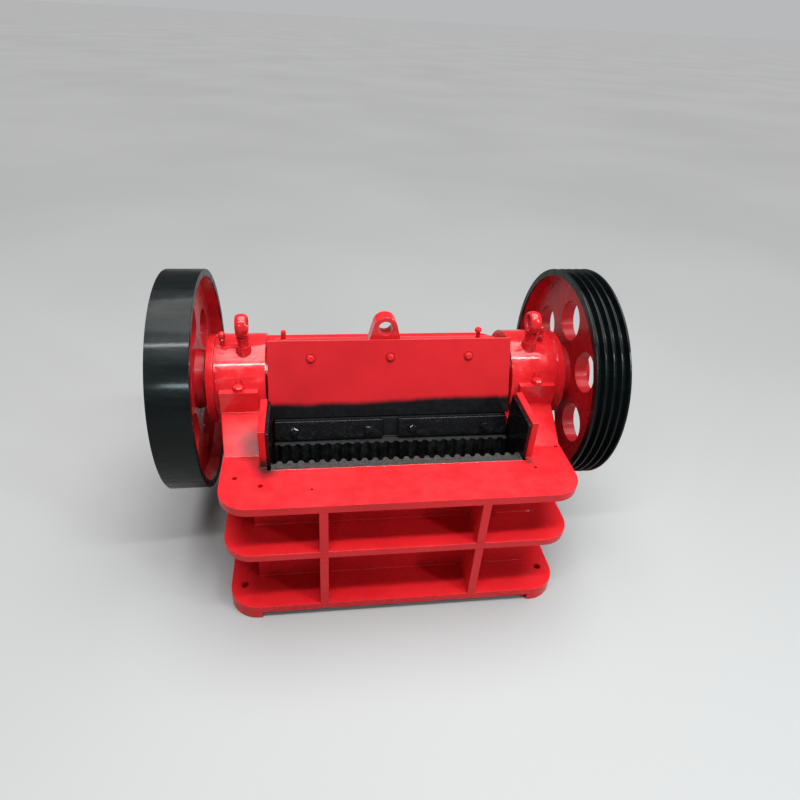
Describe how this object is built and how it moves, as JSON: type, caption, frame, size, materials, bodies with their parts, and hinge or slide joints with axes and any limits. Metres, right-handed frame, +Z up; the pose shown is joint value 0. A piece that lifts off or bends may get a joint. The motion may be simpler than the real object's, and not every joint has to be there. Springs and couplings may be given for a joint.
{
  "type": "jaw crusher",
  "caption": "Single-toggle jaw crusher: ribbed welded frame with a wide short feed mouth, a swing jaw on a flywheel shaft, and a grooved belt pulley.",
  "frame": {"origin": "centre of the four foundation bolt holes, at ground level", "axes": "+Z up; +X along the shaft towards the belt pulley; -Y towards the feed side"},
  "size_m": [1.386, 0.98, 0.884],
  "materials": {
    "red_paint": "gloss",
    "black_paint": "gloss",
    "black_rim_paint": "gloss",
    "manganese_steel": "rough",
    "bare_steel": "turned",
    "dark_steel": "satin"
  },
  "bodies": {
    "frame": {"front_wall": "red_paint", "rear_wall": "red_paint", "top_flange": "red_paint", "middle_flange": "red_paint", "bottom_flange": "red_paint", "rear_ribs": "red_paint", "fixed_jaw_plate": "manganese_steel", "toggle_plate": "dark_steel", "toggle_seat": "dark_steel", "adjusting_wedge": "dark_steel", "front_rib_left": "red_paint", "front_rib_right": "red_paint", "side_ribs_left": "red_paint", "side_ribs_right": "red_paint", "front_foot_left": "red_paint", "front_foot_right": "red_paint", "rear_foot_left": "red_paint", "rear_foot_right": "red_paint", "side_plate_left": "red_paint", "side_plate_right": "red_paint", "bearing_saddle_left": "red_paint", "bearing_saddle_right": "red_paint", "bearing_housing_left": "red_paint", "bearing_housing_right": "red_paint", "bearing_cover_left": "red_paint", "bearing_cover_right": "red_paint", "eye_bolt_left": "red_paint", "eye_bolt_right": "red_paint", "front_ramp_left": "red_paint", "front_ramp_right": "red_paint", "rear_ramp_left": "red_paint", "rear_ramp_right": "red_paint", "cheek_plate_left": "black_paint", "cheek_plate_right": "black_paint", "tension_rod_left": "dark_steel", "tension_rod_right": "dark_steel", "tension_spring_left": "dark_steel", "tension_spring_right": "dark_steel"},
    "jaw": {"swing_jaw": "red_paint", "rod_lugs": "red_paint", "head_plate": "red_paint", "moving_jaw_plate": "manganese_steel", "clamp_bar_left": "black_paint", "clamp_bar_right": "black_paint", "lifting_lug": "red_paint"},
    "rotor": {"shaft": "bare_steel", "flywheel": "black_rim_paint", "drive_pulley": "black_rim_paint"}
  },
  "joints": [
    {"name": "shaft_spin", "type": "hinge", "parent": "frame", "child": "rotor", "pos_m": [0, 0.045, 0.53], "axis": [1, 0, 0], "continuous": true},
    {"name": "jaw_swing", "type": "hinge", "parent": "frame", "child": "jaw", "pos_m": [0, 0.045, 0.53], "axis": [1, 0, 0], "range_deg": [-1.2, 0]}
  ]
}
